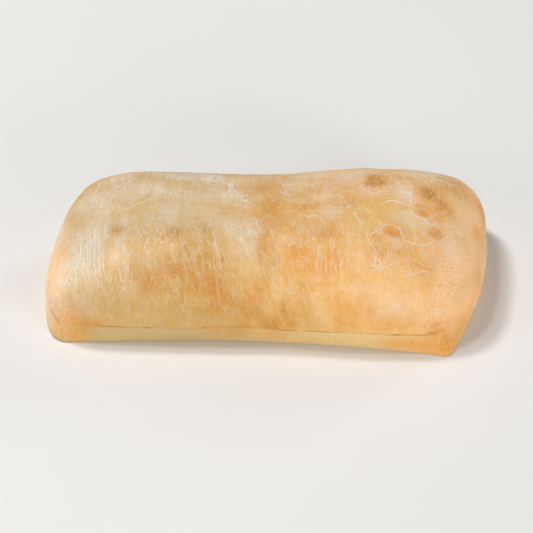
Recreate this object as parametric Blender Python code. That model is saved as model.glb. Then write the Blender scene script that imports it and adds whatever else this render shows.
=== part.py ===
"""A part-baked ciabatta loaf, as one solid.

The dough rested on a floured board, so the loaf has a flat base, a narrow foot that sticks out at its
front right corner, a crease where the crust laps over the foot, a belly just above it, and a low dome
that sags between two rises. It starts as a block, whose faces are cut into a grid, and each point of
the block is then carried to its place on the loaf.

X runs along the loaf, -Y is its front and +Z is up. The origin is on the surface that the loaf rests
on, under the middle of its box. Sizes are in metres.
"""

import random
from math import exp, sqrt

import bmesh
import bpy
from mathutils import Vector, noise

MM = 0.001

# Heights above the base
BASE_ROUND = 2.5 * MM
CREASE_HEIGHT = 13 * MM
BELLY_HEIGHT = 20 * MM
TOP_HEIGHT = 57 * MM

# The four-sided outlines, seen from above, that the foot and the belly are rounded from
FOOT_CORNERS = {
    ("left", "front"): Vector((-123, -51)) * MM,
    ("right", "front"): Vector((108.5, -61)) * MM,
    ("left", "back"): Vector((-107, 54)) * MM,
    ("right", "back"): Vector((126, 58)) * MM,
}
BELLY_CORNERS = {
    ("left", "front"): Vector((-125, -53)) * MM,
    ("right", "front"): Vector((113, -67)) * MM,
    ("left", "back"): Vector((-106, 60)) * MM,
    ("right", "back"): Vector((133.5, 66)) * MM,
}
# How square each corner is: the power of a superellipse, where 2 is round
FOOT_SQUARENESS = {
    ("left", "front"): 9,
    ("right", "front"): 30,
    ("left", "back"): 8,
    ("right", "back"): 8,
}
BELLY_SQUARENESS = {
    ("left", "front"): 6.8,
    ("right", "front"): 4.5,
    ("left", "back"): 10,
    ("right", "back"): 7,
}
# How full the dome's shoulder is towards each side, as a power again
SHOULDER = {"left": 3.6, "right": 2.9, "front": 2.4, "back": 2.7}

# How far the middle of each side bows out from the line between its corners
FOOT_BOW = {"left": 6.5 * MM, "right": 11.5 * MM, "front": -7 * MM, "back": -2 * MM}
BELLY_BOW = {"left": 4.5 * MM, "right": 9 * MM, "front": -6 * MM, "back": -1 * MM}
TUCK_END = 0.8  # how far down from the belly to the base the wall has turned in to the foot's outline

# The dome's rises and its sag: place along the loaf and half width, as shares of its half length, and
# height as a share of the dome's
SWELLS = (
    (0.50, 0.40, 0.12),
    (-0.10, 0.25, -0.045),
    (-0.60, 0.25, 0.05),
)

# The crease over the foot
CREASE_DEPTH = 1.1 * MM
CREASE_LIP = 0.5 * MM
CREASE_HALF_WIDTH = 0.9 * MM
CREASE_WANDER = 0.7 * MM
CREASE_WANDER_HEIGHT = 5 * MM
CREASE_WAVE = 45 * MM
CREASE_PATCH = 26 * MM
CREASE_OPEN_FRONT = (0.65, 1.0)  # how open the crease is along the front, at its least and its most
CREASE_OPEN_BACK = (0.15, 0.5)
CREASE_TURN = (-30 * MM, 10 * MM)  # across the loaf, from the front's crease to the back's
CREASE_REACH = (98 * MM, 122 * MM)  # along the loaf, where the crease starts to close, and where it has
PINCH_REACH = (8 * MM, 24 * MM)  # no crease nearer the foot's pinched corner, and a full one further off

# Uneven dough: broad waves, small waves, and blisters that rose or sank
BROAD_WAVE = 42 * MM
BROAD_RELIEF = 1.1 * MM
SMALL_WAVE = 13 * MM
SMALL_RELIEF = 0.45 * MM
WAVES_FADE_IN = (2 * MM, 14 * MM)  # the heights where the waves start, and are full
BLISTERS_FADE_IN = (20 * MM, 35 * MM)
BLISTERS = 30
BLISTER_SPREAD = 0.9
BLISTER_RADIUS = (6 * MM, 13 * MM)
BLISTER_RELIEF = (-0.6 * MM, 0.8 * MM)
BLISTER_SEED = 11
# Hollows where bubbles burst, and one toasted bubble that stands up: place, radius, height
NAMED_BLISTERS = (
    (Vector((75, -17)) * MM, 7 * MM, -0.8 * MM),
    (Vector((100, -11)) * MM, 7 * MM, -0.8 * MM),
    (Vector((60, -11)) * MM, 6 * MM, -0.6 * MM),
    (Vector((107, 13)) * MM, 10 * MM, -0.8 * MM),
    (Vector((0, 4)) * MM, 9 * MM, -0.6 * MM),
    (Vector((66, 30)) * MM, 9 * MM, 1.0 * MM),
)

# The grid that the block's faces are cut into. The odd counts keep it off the block's middle, where the
# rounding has no direction.
CELLS_ALONG = 61
CELLS_ACROSS = 27
DOME_ROWS = 7
WALL_HEIGHTS = (
    0.0,
    0.3 * BASE_ROUND,
    BASE_ROUND,
    0.6 * CREASE_HEIGHT,
    CREASE_HEIGHT - CREASE_HALF_WIDTH,
    CREASE_HEIGHT,
    CREASE_HEIGHT + CREASE_HALF_WIDTH,
    0.5 * (CREASE_HEIGHT + BELLY_HEIGHT),
    BELLY_HEIGHT,
)

CRUST_COLOUR = (0.73, 0.46, 0.21, 1.0)
CRUST_ROUGHNESS = 0.75


def clear_scene():
    for obj in list(bpy.data.objects):
        bpy.data.objects.remove(obj)


def ease(value, start, end):
    """0 before start, 1 after end, and a smooth rise between them."""
    share = min(1.0, max(0.0, (value - start) / (end - start)))
    return share * share * (3 - 2 * share)


def mix(first, second, share):
    return first * (1 - share) + second * share


def sides_of(u, v):
    return ("right" if u > 0 else "left", "front" if v < 0 else "back")


def on_quad(corners, u, v):
    """The point at u, v, each from -1 to 1, of the four-sided outline."""
    front = mix(corners["left", "front"], corners["right", "front"], (u + 1) / 2)
    back = mix(corners["left", "back"], corners["right", "back"], (u + 1) / 2)
    return mix(front, back, (v + 1) / 2)


def shoulder_power(u, v):
    """The dome's power in the direction u, v: its end's and its side's, by how much each is faced."""
    end, side = sides_of(u, v)
    to_end, to_side = u**4 + 1e-9, v**4 + 1e-9
    return (SHOULDER[end] * to_end + SHOULDER[side] * to_side) / (to_end + to_side)


def swell(u):
    return sum(rise * exp(-(((u - at) / half_width) ** 2)) for at, half_width, rise in SWELLS)


def bow(u, v, tuck):
    """How far the outline's bowed sides carry the point at u, v. tuck is 0 at the belly and 1 at the foot."""
    side = {name: mix(BELLY_BOW[name], FOOT_BOW[name], tuck) for name in BELLY_BOW}
    along = side["right"] * ease(u, 0.2, 1) - side["left"] * ease(-u, 0.2, 1)
    across = side["back"] * ease(v, 0, 1) - side["front"] * ease(-v, 0, 1)
    return Vector((along * (1 - v * v), across * (1 - u * u)))


def carried(u, v, w):
    """Where the block's point u, v, w goes. w is -1 at the base, 0 at the belly and 1 at the block's top."""
    depth = max(0.0, -w)
    tuck = ease(depth, 0, TUCK_END)
    corner = sides_of(u, v)
    power = 1 / mix(1 / BELLY_SQUARENESS[corner], 1 / FOOT_SQUARENESS[corner], depth)
    longest = max(abs(u), abs(v))
    reach = longest * ((abs(u) / longest) ** power + (abs(v) / longest) ** power) ** (1 / power)
    if w > 0:
        dome = shoulder_power(u / reach, v / reach)
        shrink = (reach**dome + w**dome) ** (1 / dome)
        rise = w / shrink
    else:
        shrink = reach / longest
        rise = 0.0
    u, v = u / shrink, v / shrink
    plan = mix(on_quad(BELLY_CORNERS, u, v), on_quad(FOOT_CORNERS, u, v), tuck) + bow(u, v, tuck)
    if w > 0:
        height = BELLY_HEIGHT + (TOP_HEIGHT - BELLY_HEIGHT) * rise * (1 + rise * swell(u))
    else:
        height = BELLY_HEIGHT * (1 - depth)
    return Vector((plan.x, plan.y, height))


def block_of_dough():
    """A cube from -1 to 1 whose faces are a grid."""
    bm = bmesh.new()
    bmesh.ops.create_cube(bm, size=2)
    rows = len(WALL_HEIGHTS) - 1 + DOME_ROWS
    for axis, cells in enumerate((CELLS_ALONG, CELLS_ACROSS, rows)):
        uncut = [edge for edge in bm.edges if edge.verts[0].co[axis] * edge.verts[1].co[axis] < -0.99]
        bmesh.ops.subdivide_edges(bm, edges=uncut, cuts=cells - 1, use_grid_fill=True)
    return bm


def row_levels():
    """The w of each of the block's rows, from the base up."""
    wall = [height / BELLY_HEIGHT - 1 for height in WALL_HEIGHTS]
    dome = [(row + 1) / DOME_ROWS for row in range(DOME_ROWS)]
    return wall + dome


def shape_loaf(bm):
    levels = row_levels()
    for vert in bm.verts:
        row = round((vert.co.z + 1) / 2 * (len(levels) - 1))
        vert.co = carried(vert.co.x, vert.co.y, levels[row])


def round_base_edge(bm):
    """Draws the lowest rows in, so that the wall meets the base in a quarter circle."""
    for vert in bm.verts:
        below = max(0.0, BASE_ROUND - vert.co.z)
        flat = Vector((vert.co.x, vert.co.y, 0))
        vert.co -= flat.normalized() * (BASE_ROUND - sqrt(BASE_ROUND**2 - below**2))


def flatten_base(bm):
    """Makes the base one flat face."""
    base = [face for face in bm.faces if all(on_base(vert) for vert in face.verts)]
    bmesh.ops.dissolve_faces(bm, faces=base, use_verts=True)


def on_base(vert):
    return vert.co.z < 0.1 * BASE_ROUND


def crease_strength(place):
    """The crease is open along the front, patchy behind, and closed at the ends and the pinched corner."""
    patch = ease(noise.noise(Vector((place.x, place.y, 0)) / CREASE_PATCH), -0.25, 0.35)
    opening = mix(mix(*CREASE_OPEN_FRONT, patch), mix(*CREASE_OPEN_BACK, patch), ease(place.y, *CREASE_TURN))
    corner = (place.xy - FOOT_CORNERS["right", "front"]).length
    return opening * (1 - ease(abs(place.x), *CREASE_REACH)) * ease(corner, *PINCH_REACH)


def crease_relief(place):
    """Inwards in the crease's groove, and out again in the lip of crust above it."""
    groove = exp(-(((place.z - CREASE_HEIGHT) / CREASE_HALF_WIDTH) ** 2))
    lip = exp(-(((place.z - CREASE_HEIGHT - 3 * CREASE_HALF_WIDTH) / (2 * CREASE_HALF_WIDTH)) ** 2))
    return crease_strength(place) * (CREASE_LIP * lip - CREASE_DEPTH * groove)


def crease_wander(place):
    """How far the crease strays up or down here, so that it isn't a ruled line."""
    near = exp(-(((place.z - CREASE_HEIGHT) / CREASE_WANDER_HEIGHT) ** 2))
    return near * CREASE_WANDER * noise.noise(Vector((place.x, place.y, 0)) / CREASE_WAVE)


def scattered_blisters():
    """Blisters at random over the loaf's plan, always the same ones."""
    draw = random.Random(BLISTER_SEED)
    found = []
    for _ in range(BLISTERS):
        across_plan = [draw.uniform(-BLISTER_SPREAD, BLISTER_SPREAD) for _ in range(2)]
        place = on_quad(BELLY_CORNERS, *across_plan)
        found.append((place, draw.uniform(*BLISTER_RADIUS), draw.uniform(*BLISTER_RELIEF)))
    return found


def blister_relief(place, blisters):
    total = 0.0
    for centre, radius, height in blisters:
        distance = sqrt((place.x - centre.x) ** 2 + (place.y - centre.y) ** 2)
        total += height * (1 - ease(distance, 0.2 * radius, radius))
    return total


def dough_relief(place, blisters):
    """How far the uneven dough stands out or in here. It fades out towards the base."""
    broad = BROAD_RELIEF * noise.noise(place / BROAD_WAVE)
    small = SMALL_RELIEF * noise.noise(place / SMALL_WAVE + Vector((3, 5, 1)))
    waves = ease(place.z, *WAVES_FADE_IN) * (broad + small)
    return waves + ease(place.z, *BLISTERS_FADE_IN) * blister_relief(place, blisters)


def raise_relief(bm):
    blisters = [*NAMED_BLISTERS, *scattered_blisters()]
    bm.normal_update()
    moves = {}
    for vert in bm.verts:
        if not on_base(vert):
            out = vert.normal * (dough_relief(vert.co, blisters) + crease_relief(vert.co))
            moves[vert] = out + Vector((0, 0, crease_wander(vert.co)))
    for vert, move in moves.items():
        vert.co += move


def stand_on_origin(bm):
    """Moves the loaf so that the middle of its box is over the origin."""
    for axis in (0, 1):
        ends = [vert.co[axis] for vert in bm.verts]
        middle = (min(ends) + max(ends)) / 2
        for vert in bm.verts:
            vert.co[axis] -= middle


def crust_material():
    material = bpy.data.materials.new("part_baked_crust")
    material.use_nodes = True
    shader = material.node_tree.nodes["Principled BSDF"]
    shader.inputs["Base Color"].default_value = CRUST_COLOUR
    shader.inputs["Roughness"].default_value = CRUST_ROUGHNESS
    shader.inputs["Metallic"].default_value = 0.0
    return material


def make_loaf():
    bm = block_of_dough()
    shape_loaf(bm)
    round_base_edge(bm)
    flatten_base(bm)
    raise_relief(bm)
    stand_on_origin(bm)
    bmesh.ops.recalc_face_normals(bm, faces=bm.faces)
    mesh = bpy.data.meshes.new("ciabatta_loaf")
    bm.to_mesh(mesh)
    bm.free()
    mesh.shade_smooth()
    mesh.materials.append(crust_material())
    loaf = bpy.data.objects.new("ciabatta_loaf", mesh)
    bpy.context.scene.collection.objects.link(loaf)
    return loaf


clear_scene()
make_loaf()
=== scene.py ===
"""The looks of a part-baked ciabatta: its floured and toasted crust, its flour, and a plain stage."""

from collections import namedtuple
from math import atan2, cos, pi, radians, sin

import bmesh
import bpy
import numpy as np
from bpy.props import FloatProperty, FloatVectorProperty, IntProperty, PointerProperty
from bpy.types import Operator, Panel, PropertyGroup
from mathutils import Matrix, Quaternion, Vector, noise
from mathutils.bvhtree import BVHTree


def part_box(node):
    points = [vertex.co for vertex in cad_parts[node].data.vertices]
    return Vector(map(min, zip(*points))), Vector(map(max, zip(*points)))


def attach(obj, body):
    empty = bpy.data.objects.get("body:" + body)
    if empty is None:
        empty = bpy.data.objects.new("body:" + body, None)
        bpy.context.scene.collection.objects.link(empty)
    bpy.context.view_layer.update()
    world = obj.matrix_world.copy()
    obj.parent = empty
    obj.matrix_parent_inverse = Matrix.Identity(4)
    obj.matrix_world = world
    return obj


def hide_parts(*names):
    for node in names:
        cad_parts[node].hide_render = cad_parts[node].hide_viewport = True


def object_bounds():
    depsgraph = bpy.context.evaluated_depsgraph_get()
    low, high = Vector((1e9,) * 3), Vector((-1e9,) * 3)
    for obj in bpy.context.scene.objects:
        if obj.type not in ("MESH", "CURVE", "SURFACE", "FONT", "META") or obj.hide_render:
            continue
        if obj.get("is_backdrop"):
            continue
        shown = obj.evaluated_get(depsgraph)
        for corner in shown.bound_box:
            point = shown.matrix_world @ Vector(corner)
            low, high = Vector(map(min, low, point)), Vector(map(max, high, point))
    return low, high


bl_info = {
    "name": "Part-baked Ciabatta",
    "version": (1, 0, 0),
    "blender": (4, 5, 0),
    "location": "3D Viewport > Sidebar > Ciabatta",
    "description": "Dresses a ciabatta loaf with a floured, toasted crust",
    "category": "Add Mesh",
}

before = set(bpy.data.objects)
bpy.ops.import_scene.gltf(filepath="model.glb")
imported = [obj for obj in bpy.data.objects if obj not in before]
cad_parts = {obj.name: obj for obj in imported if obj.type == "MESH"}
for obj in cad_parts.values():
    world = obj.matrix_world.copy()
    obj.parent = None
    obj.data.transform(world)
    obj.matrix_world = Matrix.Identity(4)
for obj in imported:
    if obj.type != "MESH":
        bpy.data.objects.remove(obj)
CAD_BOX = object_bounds()

LOAF_NODE = "ciabatta_loaf"
BODY = "root"
MM = 0.001
LOAF_LOW, LOAF_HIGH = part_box(LOAF_NODE)
HALF_LENGTH = (LOAF_HIGH.x - LOAF_LOW.x) / 2
HALF_WIDTH = (LOAF_HIGH.y - LOAF_LOW.y) / 2
TOP = LOAF_HIGH.z

# The crest that flour and stretch marks run down from is a line along the top. They run straight to
# the front and back, and fan out round the ends, over this radius.
FAN_RADIUS = 26 * MM
CREST_HALF = HALF_LENGTH - FAN_RADIUS
# How far the lines lean to the left as they run down the middle of the loaf, for each metre down
LEAN = 0.16
# How wide stretch marks are, as a share of their length
MARK_STRETCH = 0.16
CREASE_HEIGHT = 13 * MM
# How much higher the crease runs in the crust than in the solid, towards the front right, and how far
# it wanders up and down
CREASE_RISE = 1.0 * MM
CREASE_WANDER = 0.7 * MM
# Where, across the loaf, the front's open crease begins to close, and where it has closed
FRONT_EDGE = (-50 * MM, -20 * MM)
# Unevenness of the flour that cracked into a net, and of the porous skin
NET_HEIGHT = 0.18 * MM
PORE_HEIGHT = 0.10 * MM
# Lower than this, a point of the solid lies on the ground, and so does one of the crust
GROUND = 0.01 * MM
CRUST_GROUND = 0.05 * MM
# Points of the solid that are nearer to each other than this are one point
SAME_POINT = 0.001 * MM
# The toasting at which each of the colours below is reached, and how uneven it is: everywhere, and
# more where it is more toasted
TOAST_STEPS = (0.0, 0.4, 0.7, 1.0)
COOL_TOAST = ("straw_cool", "gold_cool", "deep_cool", "brown")
WARM_TOAST = ("straw_warm", "gold_warm", "deep_warm", "brown")
TOAST_UNEVEN = (0.20, 0.18)
# How toasted plain crust is, and what each kind of patch adds to that
TOAST_BASE = 0.25
TOAST_OF = {"gold": 0.88, "brown": 1.15, "orange": 0.3, "olive": 0.12, "pale": -0.15}
# Colours laid over the toasted skin, then over the foot: the mask, the colour, how deeply the feather
# of streaks and mottling cuts into the patch, and how strong it is
SKIN_LAYERS = (
    ("olive", "olive", 0.8, 0.8),
    ("yellow", "yellow", 0.6, 0.85),
    # The blush and peach layers also brighten the ends as painted light
    ("blush_and_painted_light", "blush_and_painted_light", 0.7, 0.85),
    ("peach_and_painted_light", "blush_and_painted_light", 0.6, 0.8),
    ("orange", "orange", 0.8, 0.9),
)
FOOT_LAYER = ("foot_orange", "orange", 0.6, 0.95)
# What tints the crust between the finest fluff of the flour, and on it
FLUFF_TINTS = ((1.0, 0.95, 0.78, 1.0), (1.0, 1.045, 1.2, 1.0))
# Masks that only help to work out others, so the mesh doesn't keep them
HELPING_MASKS = ("gold", "bare_foot")
# The crust's second material, how far each ring of the base shrinks from the one before, and how wide
# the pits in it are
BASE_MATERIAL = 1
BASE_RINGS = (0.985, 0.96, 0.94, 0.92, 0.9, 0.88, 0.85, 0.8, 0.75, 0.65, 0.5)
PIT_SIZE = 9 * MM
SEED = 5

# ---------------------------------------------------------------------------------------------------
# Where the crust differs from place to place, in millimetres. Each patch is its place along, across and
# up, the lengths over which it fades out along the loaf and across it, and its strength. Most patches,
# and the strand fields and cracks below, were noted by eye in pixels of the photograph, and another
# program worked out where those pixels lie on the loaf. The rest were given in millimetres.

PATCHES = {
    # Straw that stayed raw, low on the front and at the back of the top
    "olive": (
        (-84, -52, 33, 18, 6, 0.6), (-68, -54, 29, 26, 5, 0.7), (-45, -56, 22, 21, 6, 0.9),
        (-68, -55, 19, 24, 4, 0.5), (-24, -56, 19, 17, 5, 0.5), (-100, -51, 36, 8, 4, 0.5),
        (22, -59, 21, 8, 5, 0.6), (-111, 13, 48, 7, 12, 0.5), (-81, 2, 56, 8, 8, 0.4),
        (106, 34, 49, 11, 9, 0.6), (-48, -4, 57, 8, 8, 0.4), (35, 19, 60, 12, 10, 0.3),
    ),
    # Peach skin. At the ends, these patches also brighten the crust as painted light
    "blush_and_painted_light": (
        (100, -57, 17, 5, 4, 0.5), (111, -48, 9, 4, 6, 0.5), (100, -41, 45, 6, 6, 0.3),
        (112, -45, 30, 5, 8, 0.6), (105, -35, 44, 9, 12, 0.9), (95, -28, 51, 8, 8, 0.6),
        (98, -53, 36, 11, 11, 0.9), (95, -57, 26, 8, 5, 0.9), (80, -57, 37, 8, 7, 0.4),
        (-67, -33, 53, 11, 6, 0.3), (-88, -35, 53, 7, 8, 0.5), (-119, -34, 44, 4, 14, 0.6),
        (48, -39, 54, 8, 7, 0.05), (7, -42, 49, 7, 5, 0.05), (38, 32, 57, 15, 18, 0.2),
        (-18, 33, 53, 8, 8, 0.5), (121, 15, 41, 4, 18, 0.4), (-58, -30, 54, 6, 4, 0.3),
        (-123, -44, 34, 4, 5, 0.5), (8, -25, 56, 6, 4, 0.4), (64, -57, 38, 9, 5, 0.3),
    ),
    # Clear yellow skin
    "yellow": (
        (68, 0, 58, 10, 7, 0.75), (78, -9, 56, 8, 7, 0.6), (55, -14, 59, 4, 7, 0.7),
        (60, -12, 59, 4, 6, 0.5), (-38, 0, 56, 9, 7, 0.5), (47, -5, 60, 7, 8, 0.5), (-8, 0, 56, 5, 5, 1),
        (111, 17, 47, 5, 9, 0.3), (-69, 4, 57, 12, 8, 0.1),
    ),
    # A veil of flour. At the left end and along the back of the top, these patches also lighten the crust
    # as painted light
    "pale": (
        (78, 39, 54, 7, 5, 0.35), (22, 37, 53, 7, 5, 0.3), (31, 9, 60, 7, 7, 0.35),
        (105, -6, 48, 5, 7, 0.4), (-77, -49, 42, 6, 5, 0.3), (-63, 2, 57, 7, 5, 0.4),
        (22, 24, 57, 6, 5, 0.4), (96, 48, 46, 12, 7, 0.6), (79, -12, 56, 6, 5, 0.5),
        (71, -30, 55, 7, 5, 0.4), (-82, 6, 56, 7, 6, 0.4), (-66, 42, 52, 9, 5, 0.4),
        (-42, 38, 53, 9, 4, 0.3), (-2, 38, 51, 7, 6, 0.3), (60, 38, 56, 9, 5, 0.45),
        (28, -20, 59, 5, 6, 0.3), (-66, -40, 50, 7, 5, 0.3), (95, 46, 48, 12, 6, 0.7),
        (-93, -19, 55, 3, 6, 0.5), (-113, -25, 48, 5, 8, 0.4), (-125, -45, 8, 4, 6, 0.4),
        (-44, 38, 52, 16, 5, 0.3), (-118, -13, 45, 5, 9, 0.5), (-121, -48, 30, 5, 8, 0.5),
        (-107, -52, 30, 8, 7, 0.4), (-126, -42, 31, 4, 6, 0.4), (-116, -38, 45, 5, 8, 0.5),
        (-103, -53, 25, 8, 6, 0.3), (-81, -22, 56, 7, 5, 0.4), (-58, -14, 57, 8, 6, 0.35),
        (-38, -12, 56, 8, 6, 0.35), (24, 6, 59, 7, 6, 0.4), (-88, 38, 52, 14, 8, 0.6),
        (-62, -9, 58, 13, 8, 0.5), (-55, 36, 54, 14, 6, 0.9), (-34, -4, 56, 9, 8, 0.4),
        (77, -5, 56, 9, 5, 0.5), (-84, 26, 54, 12, 8, 0.5), (-83, -9, 56, 9, 7, 0.5),
        (-44, 37, 53, 16, 7, 0.5), (-109, -19, 50, 6, 12, 0.6), (-126, -40, 20, 5, 9, 0.8),
        (-46, 13, 56, 13, 9, 0.5), (-109, 18, 48, 9, 14, 0.5), (-96, 9, 53, 12, 18, 0.7),
        (-101, -22, 52, 7, 20, 0.8), (-108, -39, 48, 8, 12, 0.8), (-97, -42, 48, 6, 11, 0.3),
        (-116, -46, 40, 5, 5, 0.5), (-69, 18, 57, 15, 9, 0.7), (-54, 1, 57, 13, 9, 0.5),
        (-34, 35, 53, 17, 9, 0.7), (-25, 15, 55, 13, 9, 0.7), (-15, 4, 56, 4, 5, 0.3),
        (-13, -19, 55, 7, 16, 0.6), (-24, -14, 56, 7, 8, 0.5), (-83, -33, 54, 8, 11, 0.35),
        (10, 20, 56, 7, 12, 0.3), (27, 39, 53, 13, 8, 0.4), (47, 32, 57, 11, 11, 0.6),
        (34, -7, 61, 8, 6, 0.5), (43, 12, 61, 7, 14, 0.05), (48, -42, 53, 8, 9, 0.05),
        (78, 15, 57, 7, 11, 0.65), (90, 38, 52, 12, 9, 0.2), (56, 13, 60, 7, 7, 0.3),
        (106, 31, 49, 6, 12, 0.05), (114, 11, 45, 7, 17, 0.3), (103, -22, 47, 7, 11, 0.5),
        (88, -8, 53, 7, 5, 0.4), (-122, 1, 39, 3, 15, 0.6), (68, -59, 33, 12, 7, 0.3),
        (51, -54, 43, 13, 4, 0.3),
    ),
    # Toasted golden
    "gold": (
        (46, 16, 60, 8, 6, 0.35), (-31, -56, 27, 7, 6, 0.4), (119, -28, 30, 4, 9, 0.3),
        (5, -41, 50, 6, 5, 0.3), (-8, -1, 56, 4, 4, 0.4), (-17, -53, 10, 9, 5, 0.5),
        (3, -54, 8, 8, 6, 0.4), (14, -57, 29, 7, 6, 0.5), (-4, -50, 41, 6, 6, 0.5),
        (-31, -55, 14, 9, 4, 0.6), (95, -15, 51, 4, 5, 0.5), (109, 36, 47, 9, 9, 0.5),
        (-108, -52, 16, 8, 7, 0.6), (-44, -55, 27, 7, 5, 0.5), (112, 34, 46, 8, 10, 0.85),
        (104, 36, 49, 8, 8, 0.5), (-70, -47, 44, 8, 7, 0.8), (-61, -40, 49, 8, 6, 0.55),
        (-52, -42, 47, 7, 6, 0.8), (-44, -48, 41, 8, 7, 0.8), (-33, -48, 42, 8, 10, 0.9),
        (-36, -36, 50, 6, 7, 0.6), (-24, -53, 35, 7, 8, 0.6), (-13, -54, 34, 8, 11, 0.5),
        (-11, -56, 26, 9, 6, 0.5), (-37, -17, 56, 5, 9, 0.4), (-46, -30, 53, 4, 6, 0.5),
        (-53, -19, 57, 7, 6, 0.6), (-88, -17, 55, 4, 6, 0.5), (-82, -4, 56, 7, 7, 0.1),
        (-2, 23, 54, 9, 6, 0.35), (15, 13, 58, 11, 9, 0.4), (22, 1, 59, 8, 5, 0.7),
        (-2, 2, 56, 10, 8, 0.55), (10, -13, 58, 12, 8, 0.05), (-4, -27, 55, 4, 12, 0.5),
        (1, -32, 53, 3, 9, 0.4), (31, -23, 59, 8, 7, 0.7), (44, 0, 60, 7, 8, 0.5),
        (94, 19, 53, 8, 9, 0.7), (88, 2, 54, 5, 7, 0.6), (70, -19, 56, 5, 5, 0.5),
        (95, -13, 51, 4, 5, 0.7), (75, -35, 54, 12, 6, 0.35), (64, -34, 55, 7, 5, 0.4),
        (84, -42, 50, 8, 5, 0.6), (88, -50, 43, 5, 7, 0.4), (115, 33, 45, 6, 9, 0.6),
        (-77, 33, 55, 9, 9, 0.3), (-43, 20, 56, 8, 5, 0.3), (-105, -52, 28, 8, 7, 0.7),
        (7, -56, 32, 2, 6, 0.5), (11, -58, 20, 5, 4, 0.6), (1, -56, 17, 6, 7, 0.6),
        (-14, -55, 16, 7, 7, 0.7), (51, 6, 60, 7, 6, 0.3), (-48, -53, 34, 6, 5, 0.4),
        (-67, -51, 38, 7, 4, 0.4),
    ),
    # Toasted orange
    "orange": (
        (95, -15, 51, 4, 4, 0.6), (104, 9, 49, 4, 4, 0.25), (-8, -1, 56, 5, 5, 0.45),
        (119, -29, 26, 4, 9, 0.5), (95, -60, 12, 7, 5, 0.5), (92, -61, 3, 8, 4, 0.4),
        (-117, -20, 46, 4, 9, 0.5), (-123, -47, 25, 4, 9, 0.5), (-123, -47, 8, 4, 7, 0.35),
        (-114, -51, 19, 7, 8, 0.5), (-98, -53, 17, 5, 3, 0.4), (-111, -51, 6, 6, 3, 0.5),
        (-30, -54, 32, 3, 6, 0.15), (-9, -52, 38, 3, 7, 0.3), (-14, -54, 13, 5, 6, 0.2),
        (14, -35, 54, 7, 5, 0.95), (22, -42, 51, 9, 6, 0.5), (36, -39, 54, 5, 6, 0.6),
        (30, -45, 50, 6, 5, 0.4), (25, -51, 44, 7, 3, 0.5), (45, -61, 27, 7, 7, 0.3),
        (54, -59, 33, 7, 5, 0.2), (39, -57, 36, 6, 7, 0.3), (70, -61, 22, 9, 4, 0.3),
        (93, -58, 20, 6, 3, 0.6), (82, -60, 7, 12, 5, 0.6), (100, -59, 6, 8, 9, 1),
        (109, -51, 11, 6, 7, 0.75), (115, -43, 19, 3, 8, 0.3), (120, 0, 40, 3, 6, 0.7),
        (117, -36, 29, 3, 6, 0.25), (98, 2, 51, 5, 7, 0.6), (70, -18, 56, 5, 5, 0.9),
        (95, -29, 50, 4, 7, 0.4), (70, -59, 7, 7, 4, 0.5), (61, -25, 58, 6, 4, 0.4),
        (15, -21, 57, 9, 6, 0.2), (0, -17, 57, 6, 10, 0.15), (7, -49, 43, 3, 2, 0.4),
        (0, -54, 10, 4, 3, 0.4), (-29, -53, 10, 6, 3, 0.25),
    ),
    # Browned bubbles and pits
    "brown": (
        (61, 23, 60, 5, 5, 0.5), (94, -60, 14, 6, 3, 0.9), (62, 26, 59, 6, 5, 1),
        (59, 20, 60, 6, 4, 0.5), (101, 12, 50, 5, 4, 0.6), (105, 7, 49, 2, 4, 0.5),
        (114, 32, 45, 4, 6, 0.4), (92, 19, 54, 5, 6, 0.4), (-88, -18, 55, 3, 4, 0.4),
        (-54, -20, 57, 4, 3, 0.25), (-52, -43, 46, 4, 3, 0.5), (-70, -50, 41, 5, 2, 0.2),
        (-60, -44, 47, 2, 3, 0.35), (-98, -53, 15, 3, 3, 0.5), (96, -60, 15, 5, 2, 0.95),
        (-31, -55, 29, 2, 4, 0.35), (-27, -36, 50, 1, 2, 0.9), (-125, -41, 36, 1, 2, 0.9),
        (14, -36, 53, 4, 3, 0.3),
    ),
    # Stretches of the foot that baked as golden as the crust above
    "bare_foot": (
        (-26, -53, 9, 16, 6, 0.9), (7, -54, 8, 12, 5, 0.6),
    ),
    # Skin with open pores, near the corners
    "porous": (
        (101, -42, 40, 13, 18, 1), (93, -56, 24, 12, 9, 0.9), (74, -57, 36, 12, 8, 0.5),
        (100, -58, 8, 8, 8, 0.6), (-121, -44, 12, 8, 12, 1), (-112, -50, 22, 9, 9, 0.5),
        (-60, -45, 44, 10, 8, 0.4), (115, -20, 36, 8, 18, 0.6),
    ),
    # Flour that has cracked into a net
    "crackle": (
        (78, 17, 57, 8, 9, 1), (92, 39, 50, 19, 10, 1), (57, 17, 59, 11, 9, 0.8),
        (11, 22, 56, 8, 10, 0.9), (24, 32, 54, 12, 9, 0.4), (-14, 6, 56, 9, 7, 0.8),
        (-26, 24, 54, 14, 8, 0.6), (40, 8, 60, 9, 14, 0.6), (58, -43, 52, 9, 7, 0.9),
        (80, -42, 50, 16, 9, 0.6), (94, -12, 52, 9, 8, 0.7),
    ),
}

# Kinds of patch that a seeded draw scatters over the sides that the front hides, and how many; how high
# they lie, their half lengths and half widths, and their strength
HIDDEN_KINDS = {
    "olive": 8, "blush_and_painted_light": 8, "pale": 22, "gold": 22, "orange": 10, "brown": 7, "crackle": 10, "porous": 12,
}
HIDDEN_HEIGHT = (2, 36)
HIDDEN_LENGTH = (8, 22)
HIDDEN_WIDTH = (5, 13)
HIDDEN_STRENGTH = (0.4, 0.9)

# Hollows where bubbles burst: place in plan, half sizes, depth
Hollow = namedtuple("Hollow", "place half_size depth")
HOLLOWS = (
    Hollow((69, -19), (6.4, 5.4), 0.8),
    Hollow((95, -15), (4.8, 5.2), 0.8),
    Hollow((87, 0), (5.2, 4.4), 0.5),
    Hollow((54, -8), (4.6, 5), 0.5),
    Hollow((100, 7), (5.5, 4.6), 0.5),
)

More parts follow.
